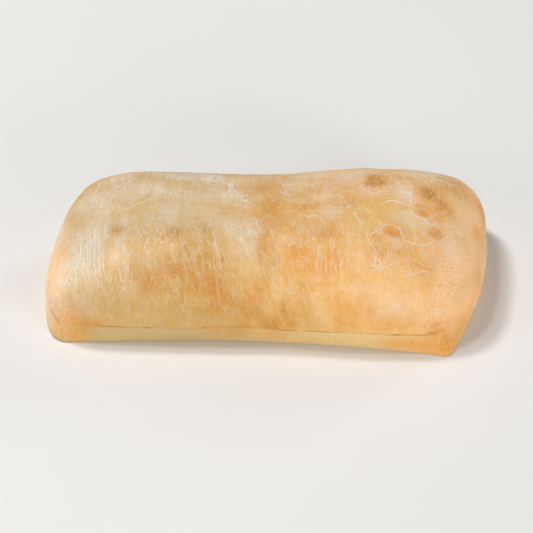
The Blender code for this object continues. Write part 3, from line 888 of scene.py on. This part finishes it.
def refined_loaf():
    """The frame's loaf as a fine mesh without its base: its triangles joined into the grid that they
    came from, then subdivided smoothly."""
    bm = bmesh.new()
    bm.from_mesh(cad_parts[LOAF_NODE].data)
    bmesh.ops.remove_doubles(bm, verts=bm.verts, dist=SAME_POINT)
    base = [face for face in bm.faces if all(vert.co.z < GROUND for vert in face.verts)]
    bmesh.ops.delete(bm, geom=base, context="FACES_ONLY")
    any_angle = radians(178)
    bmesh.ops.join_triangles(
        bm,
        faces=bm.faces,
        angle_face_threshold=any_angle,
        angle_shape_threshold=any_angle,
        topology_influence=1.5,
    )
    mesh = bpy.data.meshes.new("crust")
    bm.to_mesh(mesh)
    bm.free()
    piece = placed("crust", mesh)
    smooth = piece.modifiers.new("Fine", "SUBSURF")
    smooth.levels = smooth.render_levels = 2
    evaluated = piece.evaluated_get(bpy.context.evaluated_depsgraph_get())
    fine = bpy.data.meshes.new_from_object(evaluated)
    piece.modifiers.clear()
    piece.data = fine
    fine.name = "crust"
    bpy.data.meshes.remove(mesh)
    return piece


def places_of(mesh):
    flat = np.empty(len(mesh.vertices) * 3, np.float32)
    mesh.vertices.foreach_get("co", flat)
    return flat.reshape(-1, 3).astype(float)


def raise_crust(mesh):
    """Moves each point out or in by the crust's relief, but leaves the edge on the ground where it is."""
    places = places_of(mesh)
    near_crease = np.exp(-(((places[:, 2] - CREASE_HEIGHT) / (6 * MM)) ** 2))
    above_ground = ease(places[:, 2], 0, 3 * MM)
    places[:, 2] += near_crease * above_ground * crease_lift(places)
    normals = np.empty(len(mesh.vertices) * 3, np.float32)
    mesh.vertices.foreach_get("normal", normals)
    moved = places + normals.reshape(-1, 3) * crust_relief(places)[:, None]
    on_ground = places[:, 2] < CRUST_GROUND
    moved[on_ground] = places[on_ground]
    moved += corner_pulls(places)
    moved[:, 2] = np.maximum(moved[:, 2], 0)
    mesh.vertices.foreach_set("co", moved.astype(np.float32).ravel())
    mesh.update()


def foot_mask(places):
    """How far each place lies on the foot under the crease: with a sharp edge at the front, and a soft
    and fainter one behind."""
    line = crease_height(places)
    behind = behind_front(places)
    below = 1 - ease(places[:, 2], line - (0.4 + 3 * behind) * MM, line + (0.8 + 4 * behind) * MM)
    short_of_ends = 1 - ease(np.abs(places[:, 0] - 3 * MM), 96 * MM, 116 * MM)
    return below * (short_of_ends * (1 - 0.45 * behind))


def peach_and_painted_light_mask(places):
    """How far each place lies in the peach skin of the ends, mostly on the front half of each. The peach
    also brightens the ends as painted light.
    """
    x = places[:, 0]
    off_middle = np.abs(x + 3 * MM) + 6 * MM * waves(places, 18 * MM, 14)
    at_end = ease(off_middle, 106 * MM, 124 * MM) * ease(places[:, 2], 2 * MM, 20 * MM)
    front_half = 1 - ease(places[:, 1] + 14 * MM * waves(places, 16 * MM, 21), -36 * MM, 14 * MM)
    return at_end * np.where(x > 0, 0.25 + 0.75 * front_half, front_half)


def floured_mask(places, way, masks, dips):
    """How much combed flour each place holds."""
    x, height = places[:, 0], places[:, 2]
    cloud = 0.5 + 0.5 * waves(way * (1, 1, 0.3), 11 * MM, 12)
    upper = ease(height, 44 * MM, 52 * MM)
    bare_front = ease(x, -10 * MM, 40 * MM) * (1 - ease(height, 44 * MM, 54 * MM))
    floured = 0.6 * masks["pale"] + 0.15 + 0.45 * cloud + 0.15 * upper
    floured += 0.5 * masks["peach_and_painted_light"] * (x < 0)
    floured *= (1 - 0.7 * masks["gold"]) * (1 - 0.7 * masks["brown"])
    return floured * (1 - 0.65 * bare_front) * (1 - 0.6 * dips)


def crust_masks(places, way):
    """What the crust's material reads at each place, by name, mostly from 0 to 1."""
    hidden = hidden_patches()
    masks = {
        kind: patch_mask(places, (*patches, *hidden.get(kind, ()))) for kind, patches in PATCHES.items()
    }
    masks["warm"] = ease(places[:, 0] + 12 * MM * waves(places, 40 * MM, 10), -50 * MM, 60 * MM)
    # Peach skin of the ends, in part painted light that brightens them
    masks["peach_and_painted_light"] = peach_and_painted_light_mask(places)
    masks["foot"] = foot_mask(places) * (1 - 0.7 * masks["bare_foot"])
    masks["foot_orange"] = masks["orange"] * masks["foot"]
    dips, masks["rim"] = all_hollows(places)
    # Painted shade: the grooves' mask, which darkens the crust in them
    masks["painted_groove_shade"] = all_grooves(places)
    # Painted shade: a dark line along the crease, broken up, for the material to lay in
    masks["crease"] = crease_line(places) * (0.65 + 0.8 * waves(places * (1, 1, 0), 6 * MM, 8))
    masks["pale"] *= (1 - 0.8 * masks["brown"]) * (1 - 0.3 * masks["gold"])
    masks["crackle"] *= 1 - 0.7 * masks["brown"]
    masks["porous"] *= ease(waves(places, 12 * MM, 13), -1.0, 0.1)
    masks["toast_and_groove_shade"] = TOAST_BASE + sum(added * masks[kind] for kind, added in TOAST_OF.items())
    # The grooves count as much more toasted: painted shade that darkens them. The hollows count as a little
    # more toasted.
    masks["toast_and_groove_shade"] += 0.1 * dips + 0.6 * masks["painted_groove_shade"]
    masks["toast_and_groove_shade"] += 0.26 * waves(way * (1, 1, 0.3), 8 * MM, 11) * (1 - masks["foot"])
    upper_wall = 1 - 0.75 * (1 - ease(places[:, 2], 20 * MM, 40 * MM))
    masks["combed"] = ease(way[:, 2], 8 * MM, 24 * MM) * upper_wall
    masks["floured"] = floured_mask(places, way, masks, dips)
    return {name: values for name, values in masks.items() if name not in HELPING_MASKS}


def paint_masks(mesh):
    """Writes what the crust's material reads at each point: its masks, and the way down."""
    places = places_of(mesh)
    way = downhill(places)
    for name, values in crust_masks(places, way).items():
        layer = mesh.attributes.new(name, "FLOAT", "POINT")
        layer.data.foreach_set("value", np.clip(values, 0, 1).astype(np.float32))
    layer = mesh.attributes.new("way", "FLOAT_VECTOR", "POINT")
    layer.data.foreach_set("vector", way.astype(np.float32).ravel())


def close_base(mesh):
    """Closes the ground outline with rings that shrink to its middle, in the base's material. They lie
    on the ground but for shallow pits, which never reach the outline."""
    bm = bmesh.new()
    bm.from_mesh(mesh)
    rim = [edge for edge in bm.edges if edge.is_boundary]
    for scale in BASE_RINGS:
        made = bmesh.ops.extrude_edge_only(bm, edges=rim)["geom"]
        rim = [item for item in made if isinstance(item, bmesh.types.BMEdge)]
        verts = [item for item in made if isinstance(item, bmesh.types.BMVert)]
        bmesh.ops.scale(bm, vec=(scale, scale, 1), verts=verts)
        for face in made:
            if isinstance(face, bmesh.types.BMFace):
                face.material_index = BASE_MATERIAL
    middle = bmesh.ops.contextual_create(bm, geom=rim, mat_nr=BASE_MATERIAL)["faces"]
    bmesh.ops.poke(bm, faces=middle)
    for vert in bm.verts:
        inside = all(face.material_index == BASE_MATERIAL for face in vert.link_faces)
        if inside and vert.co.z < GROUND:
            vert.co.z = settings().sizes.pit_depth * max(0, noise.noise(vert.co / PIT_SIZE))
    bmesh.ops.recalc_face_normals(bm, faces=bm.faces)
    bm.to_mesh(mesh)
    bm.free()


def finish_piece(piece):
    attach(piece, BODY)
    return piece


class CIABATTA_OT_make_crust(Operator):
    """Make the loaf's crust from the frame's loaf"""

    bl_idname = "ciabatta.make_crust"
    bl_label = "Make Crust"

    def execute(self, context):
        piece = refined_loaf()
        raise_crust(piece.data)
        paint_masks(piece.data)
        effects = make_effects()
        piece.data.materials.clear()
        piece.data.materials.append(crust_material(effects))
        piece.data.materials.append(base_material(effects))
        close_base(piece.data)
        piece.data.shade_smooth()
        finish_piece(piece)
        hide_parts(LOAF_NODE)
        return {"FINISHED"}


# ---------------------------------------------------------------------------------------------------
# Flour: strands, cracks and loose grains


def speck(bm, place, out, size, turn):
    """One flattened grain, pressed a little into the crust."""
    upright = out.to_track_quat("Z", "Y").to_matrix().to_4x4()
    shape = Matrix.Diagonal((size, size * 0.8, size * 0.55, 1))
    matrix = Matrix.Translation(place) @ upright @ Matrix.Rotation(turn, 4, "Z") @ shape
    bmesh.ops.create_icosphere(bm, subdivisions=1, radius=1, matrix=matrix)


def strand_path(skin, start, heading, length, curl, bend):
    """Points along one strand of flour, which follows the crust and curls a little, more and more."""
    spot, out = skin.find_nearest(start)[:2]
    level = Vector((1, 0, 0)) if out.z > 0.7 else Vector((0, 0, 1)).cross(out)
    side = (level - out * level.dot(out)).normalized()
    way = side * cos(heading) + out.cross(side) * sin(heading)
    path = []
    for _ in range(max(3, round(length / STRAND_STEP))):
        path.append(spot)
        spot, out = skin.find_nearest(spot + way * STRAND_STEP)[:2]
        way = (way - out * way.dot(out)).normalized()
        way.rotate(Quaternion(out, curl))
        curl += bend
    for place in path:
        place.z = max(place.z, STRAND_GROUND_GAP)
    return path


def cracked_path(skin, points):
    """Points along one crack: it follows the crust between these points, and strays from side to side."""
    corners = [Vector(point) * MM for point in points]
    path = []
    for start, end in zip(corners, corners[1:]):
        steps = max(2, round((end - start).length / STRAND_STEP))
        path += [start.lerp(end, step / steps) for step in range(steps)]
    path.append(corners[-1])
    strays = [waves(path, 3 * MM, seed) for seed in (15, 16, 17)]
    strayed = [place + Vector(stray) * 0.8 * MM for place, *stray in zip(path, *strays)]
    return [skin.find_nearest(place)[0] for place in strayed]


def hidden_fields():
    """The fields of the front, turned half round to the back."""
    return [field._replace(x=-field.x, y=-field.y) for field in STRAND_FIELDS if field.y < 0]


def field_strands(draw, field, count):
    """Where each strand of a field starts, its heading, its length, how it curls, and its thickness."""
    for _ in range(count):
        along, across, drop = draw.normal(size=3) * (field.along, field.across, field.across)
        start = (Vector((field.x, field.y, field.z)) + Vector((along, across, drop))) * MM
        heading = atan2(across + drop, along) if field.heading is None else radians(field.heading)
        heading += radians(field.stray) * STRAND_STRAY * draw.normal()
        length = field.length * MM * draw.uniform(*STRAND_LENGTHS)
        curl, bend = draw.normal(size=2) * STRAND_CURL
        yield start, heading, length, curl, bend, 0.5 + 0.7 * draw.random() ** 3


def add_strand(curve, path, thickness):
    """One strand along these points, thinner at both ends."""
    spline = curve.splines.new("POLY")
    spline.points.add(len(path) - 1)
    for number, (point, place) in enumerate(zip(spline.points, path)):
        point.co = (*place, 1)
        point.radius = thickness * (0.3 + 0.7 * sin(pi * number / (len(path) - 1)))


def crust_skin():
    bm = bmesh.new()
    bm.from_mesh(bpy.data.objects["crust"].data)
    skin = BVHTree.FromBMesh(bm)
    bm.free()
    return skin


def copy_masks(skin, mesh, names):
    """Gives each point of the mesh the crust's masks at the place that is nearest to it."""
    crust = bpy.data.objects["crust"].data
    nearest = [crust.polygons[skin.find_nearest(vert.co)[2]].vertices[0] for vert in mesh.vertices]
    for name in names:
        values = np.empty(len(crust.vertices), np.float32)
        crust.attributes[name].data.foreach_get("value", values)
        layer = mesh.attributes.new(name, "FLOAT", "POINT")
        layer.data.foreach_set("value", values[nearest])


def strand_material():
    """Thin strands: of flour where the crust is floured, and of pale skin elsewhere."""
    material, write, place, shader = powder_material("flour_strands", 0.03 * MM)
    skin = write.mix(write.attribute("warm"), rgba("strand_cool"), rgba("strand_warm"))
    floury = write.more(write.attribute("pale"), 0.9, 0.15)
    floury = write.more(write.attribute("crackle"), 0.9, floury)
    uneven = write.rise(write.noise(place, 400, detail=2.0), 0.35, 0.65, low=0.3, high=1.0)
    floury = write.times(floury, uneven, clamp=True)
    write.feed(shader.inputs["Base Color"], write.mix(floury, skin, rgba("strand")))
    return material


def crack_material():
    """Flour gathered along a crack."""
    material, write, place, shader = powder_material("cracked_flour", 0.03 * MM)
    tone = write.rise(write.noise(place, 450, detail=2.0), 0.38, 0.6)
    write.feed(shader.inputs["Base Color"], write.mix(tone, rgba("strand"), rgba("crack")))
    return material


def thread_piece(name, threads, radius, material):
    """One piece of thin tubes. Each thread is the points of a tube, and its thickness as a share of the
    radius."""
    curve = bpy.data.curves.new(name, "CURVE")
    curve.dimensions = "3D"
    curve.bevel_depth = radius
    curve.bevel_resolution = 0
    curve.use_fill_caps = True
    for path, thickness in threads:
        add_strand(curve, path, thickness)
    tubes = placed("tubes", curve)
    evaluated = tubes.evaluated_get(bpy.context.evaluated_depsgraph_get())
    mesh = bpy.data.meshes.new_from_object(evaluated)
    bpy.data.objects.remove(tubes)
    bpy.data.curves.remove(curve)
    mesh.name = name
    mesh.materials.clear()
    mesh.materials.append(material)
    mesh.shade_smooth()
    return finish_piece(placed(name, mesh))


class CIABATTA_OT_lay_strands(Operator):
    """Lay short strands of flour and skin over the crust"""

    bl_idname = "ciabatta.lay_strands"
    bl_label = "Lay Strands"

    def execute(self, context):
        flour = settings().flour
        skin = crust_skin()
        draw = np.random.default_rng(SEED)
        crust = bpy.data.objects["crust"].data
        browned = crust.attributes["brown"].data
        threads = []
        for field in (*STRAND_FIELDS, *hidden_fields()):
            count = round(field.count * flour.strand_share)
            for start, *run, thickness in field_strands(draw, field, count):
                below = crust.polygons[skin.find_nearest(start)[2]].vertices[0]
                if browned[below].value < BARE_BROWN:
                    threads.append((strand_path(skin, start, *run), thickness))
        piece = thread_piece("flour_strands", threads, flour.strand_radius, strand_material())
        copy_masks(skin, piece.data, STRAND_MASKS)
        return {"FINISHED"}


class CIABATTA_OT_crack_flour(Operator):
    """Lay the long white lines where the floured skin cracked"""

    bl_idname = "ciabatta.crack_flour"
    bl_label = "Crack Flour"

    def execute(self, context):
        skin = crust_skin()
        threads = [(cracked_path(skin, points), thickness) for thickness, *points in FLOUR_CRACKS]
        thread_piece("flour_cracks", threads, settings().flour.crack_radius, crack_material())
        return {"FINISHED"}


class CIABATTA_OT_dust_flour(Operator):
    """Scatter loose grains of flour over the crust"""

    bl_idname = "ciabatta.dust_flour"
    bl_label = "Dust Flour"

    def execute(self, context):
        flour = settings().flour
        crust = bpy.data.objects["crust"].data
        places = places_of(crust)
        weight = 0.25 + patch_mask(places, PATCHES["pale"]) + 0.5 * patch_mask(places, PATCHES["crackle"])
        weight *= places[:, 2] > CREASE_HEIGHT
        draw = np.random.default_rng(SEED)
        chosen = draw.choice(len(places), flour.grains, replace=False, p=weight / weight.sum())
        bm = bmesh.new()
        for index in chosen:
            vert = crust.vertices[int(index)]
            size = flour.grain_radius * draw.uniform(0.5, 1.0) ** 2
            speck(bm, vert.co + vert.normal * size * 0.2, vert.normal, size, draw.uniform(0, pi))
        mesh = bpy.data.meshes.new("loose_flour")
        bm.to_mesh(mesh)
        bm.free()
        mesh.shade_smooth()
        mesh.materials.append(flour_material())
        finish_piece(placed("loose_flour", mesh))
        return {"FINISHED"}


# ---------------------------------------------------------------------------------------------------
# The stage


# Softboxes: place, width, height, and share of the light's power. The two high ones cast the loaf's
# short shadow to the right and the front. The shares began as another program's fit to the brightness
# of the floor and the loaf in the photograph, and some were changed since.
SOFTBOXES = {
    "high left": ((-0.85, 0.32, 1.75), 0.3, 0.3, 0.182),
    "high": ((-0.6, -0.1, 1.9), 0.3, 0.3, 0.099),
    "front": ((0, -2.0, 0.55), 2.4, 0.6, 0.083),
    "left end": ((-2.0, -0.9, 0.5), 0.8, 0.6, 0.154),
    "right front": ((1.35, -1.7, 0.45), 0.8, 0.6, 0.220),
    "back": ((1.6, 1.4, 1.0), 0.8, 0.8, 0.118),
}


def add_floor(stage):
    bm = bmesh.new()
    bmesh.ops.create_grid(bm, x_segments=1, y_segments=1, size=stage.floor_half)
    mesh = bpy.data.meshes.new("floor")
    bm.to_mesh(mesh)
    bm.free()
    material, _, shader = new_material("pale_floor")
    shader.inputs["Base Color"].default_value = rgba("floor")
    shader.inputs["Roughness"].default_value = 0.9
    mesh.materials.append(material)
    floor = placed("floor", mesh)
    floor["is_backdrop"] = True


def aim(obj, target):
    obj.rotation_euler = (Vector(target) - obj.location).to_track_quat("-Z", "Y").to_euler()


def add_softbox(name, place, width, height, power):
    light = bpy.data.lights.new(name, "AREA")
    light.shape = "RECTANGLE"
    light.size = width
    light.size_y = height
    light.energy = power
    box = placed(name, light)
    box.location = place
    aim(box, (0, 0, 0))


def add_camera(stage):
    data = bpy.data.cameras.new("camera")
    data.lens = stage.lens
    camera = placed("camera", data)
    target = Vector(stage.target)
    back = Vector((0, -cos(stage.elevation), sin(stage.elevation)))
    camera.location = target + back * stage.distance
    aim(camera, target)
    bpy.context.scene.camera = camera


class CIABATTA_OT_set_stage(Operator):
    """Set a pale floor, soft studio light and the camera"""

    bl_idname = "ciabatta.set_stage"
    bl_label = "Set Stage"

    def execute(self, context):
        stage = settings().stage
        add_floor(stage)
        for name, (place, width, height, share) in SOFTBOXES.items():
            add_softbox(name, place, width, height, share * stage.light_power)
        world = bpy.data.worlds.new("studio")
        world.use_nodes = True
        sky = world.node_tree.nodes["Background"]
        sky.inputs["Color"].default_value = (1, 1, 1, 1)
        sky.inputs["Strength"].default_value = stage.sky_strength
        context.scene.world = world
        context.scene.view_settings.view_transform = "Standard"
        add_camera(stage)
        return {"FINISHED"}


# ---------------------------------------------------------------------------------------------------
# What a user may change


def size_setting(name, description, default):
    return FloatProperty(name=name, description=description, default=default, unit="LENGTH", precision=5)


def colour_setting(name, description, default):
    return FloatVectorProperty(
        name=name, description=description, default=default, subtype="COLOR", size=3, min=0, max=1
    )


class CrustSizes(PropertyGroup):
    wrinkle_height: size_setting("Wrinkles", "Height of the crust's small wrinkles", 0.12 * MM)
    stretch_mark_height: size_setting("Stretch Marks", "Height of the marks that run down", 0.09 * MM)
    crease_depth: size_setting("Crease Depth", "Further depth of the crease over the foot", 0.55 * MM)
    pit_depth: size_setting("Base Pits", "Depth of the pits in the underside", 0.5 * MM)
    crease_half_width: size_setting("Crease Half Width", "Half width of the crease", 0.45 * MM)


class CrustColours(PropertyGroup):
    straw_cool: colour_setting("Cool Straw", "Bare crust at the left", (0.64, 0.425, 0.18))
    gold_cool: colour_setting("Cool Gold", "Golden crust at the left", (0.59, 0.34, 0.107))
    deep_cool: colour_setting("Cool Deep Gold", "Toasted crust at the left", (0.545, 0.29, 0.063))
    straw_warm: colour_setting("Warm Straw", "Bare crust at the right", (0.83, 0.50, 0.215))
    gold_warm: colour_setting("Warm Gold", "Golden crust at the right", (0.755, 0.405, 0.125))
    deep_warm: colour_setting("Warm Deep Gold", "Toasted crust at the right", (0.70, 0.335, 0.075))
    brown: colour_setting("Brown", "Browned bubbles", (0.555, 0.235, 0.045))
    olive: colour_setting("Olive", "Crust that stayed raw", (0.565, 0.365, 0.125))
    # Peach skin, and painted light that brightens the ends
    blush_and_painted_light: colour_setting("Blush", "Peach skin", (0.94, 0.57, 0.30))
    yellow: colour_setting("Yellow", "Clear skin", (0.735, 0.49, 0.15))
    orange: colour_setting("Orange", "Orange toasted crust", (0.745, 0.305, 0.048))
    foot_cool: colour_setting("Cool Foot", "The foot at the left", (0.535, 0.405, 0.19))
    foot_warm: colour_setting("Warm Foot", "The foot at the right", (0.71, 0.535, 0.25))
    # Painted shade: the dark colour laid in the grooves
    painted_groove_shade: colour_setting("Wrinkle", "In the folds of the corners", (0.56, 0.215, 0.035))
    # Painted shade: the dark colour laid along the crease over the foot
    crease: colour_setting("Crease", "Inside the crease", (0.40, 0.19, 0.045))
    flour: colour_setting("Flour", "Flour", (0.785, 0.725, 0.62))
    strand: colour_setting("Strand", "Strands of flour", (0.79, 0.72, 0.61))
    strand_cool: colour_setting("Cool Strand", "Strands of skin at the left", (0.67, 0.47, 0.235))
    strand_warm: colour_setting("Warm Strand", "Strands of skin at the right", (0.83, 0.56, 0.28))
    crack: colour_setting("Crack", "Flour gathered along the cracks", (0.90, 0.86, 0.78))
    floor: colour_setting("Floor", "The floor under the loaf", (0.82, 0.81, 0.79))


class FlourSettings(PropertyGroup):
    grains: IntProperty(name="Grains", description="Loose grains of flour", default=420, min=0)
    grain_radius: size_setting("Grain Radius", "Radius of the largest grain", 0.45 * MM)
    strand_radius: size_setting("Strand Radius", "Radius of the thickest strand", 0.13 * MM)
    crack_radius: size_setting("Crack Radius", "Radius of the thickest line in a crack", 0.34 * MM)
    strand_share: FloatProperty(name="Strands", description="How many of the strands are laid", default=1.6)


class StageSettings(PropertyGroup):
    floor_half: size_setting("Floor", "Half of the floor's width", 4.0)
    distance: size_setting("Distance", "From the camera to its target", 1.05)
    elevation: FloatProperty(
        name="Elevation", description="Camera angle above the floor", default=radians(40), subtype="ANGLE"
    )
    lens: FloatProperty(name="Lens", description="Focal length in millimetres", default=120.0)
    target: FloatVectorProperty(
        name="Target",
        description="What the camera looks at",
        default=(-2.1 * MM, 0, 14.1 * MM),
        subtype="XYZ",
        unit="LENGTH",
    )
    light_power: FloatProperty(name="Light", description="Power shared by the softboxes", default=92.5)
    sky_strength: FloatProperty(name="Sky", description="Strength of the light all round", default=0.15)


class CiabattaSettings(PropertyGroup):
    sizes: PointerProperty(type=CrustSizes)
    colours: PointerProperty(type=CrustColours)
    flour: PointerProperty(type=FlourSettings)
    stage: PointerProperty(type=StageSettings)


class CIABATTA_PT_loaf(Panel):
    bl_idname = "CIABATTA_PT_loaf"
    bl_label = "Part-baked Ciabatta"
    bl_space_type = "VIEW_3D"
    bl_region_type = "UI"
    bl_category = "Ciabatta"

    def draw(self, context):
        layout = self.layout
        for operator in OPERATORS:
            layout.operator(operator.bl_idname)
        for group in ("sizes", "colours", "flour", "stage"):
            values = getattr(settings(), group)
            box = layout.box()
            for name in values.__annotations__:
                box.prop(values, name)


OPERATORS = (
    CIABATTA_OT_make_crust,
    CIABATTA_OT_lay_strands,
    CIABATTA_OT_crack_flour,
    CIABATTA_OT_dust_flour,
    CIABATTA_OT_set_stage,
)
CLASSES = (
    CrustSizes,
    CrustColours,
    FlourSettings,
    StageSettings,
    CiabattaSettings,
    *OPERATORS,
    CIABATTA_PT_loaf,
)


def register():
    for cls in CLASSES:
        bpy.utils.register_class(cls)
    bpy.types.Scene.ciabatta = PointerProperty(type=CiabattaSettings)


def unregister():
    del bpy.types.Scene.ciabatta
    for cls in reversed(CLASSES):
        bpy.utils.unregister_class(cls)


def write_sizes():
    boxes = {"cad": CAD_BOX, "visual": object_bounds()}
    {name: [list(corner) for corner in box] for name, box in boxes.items()}


def main():
    register()
    bpy.ops.ciabatta.make_crust()
    bpy.ops.ciabatta.lay_strands()
    bpy.ops.ciabatta.crack_flour()
    bpy.ops.ciabatta.dust_flour()
    bpy.ops.ciabatta.set_stage()
    write_sizes()


if __name__ == "__main__":
    main()
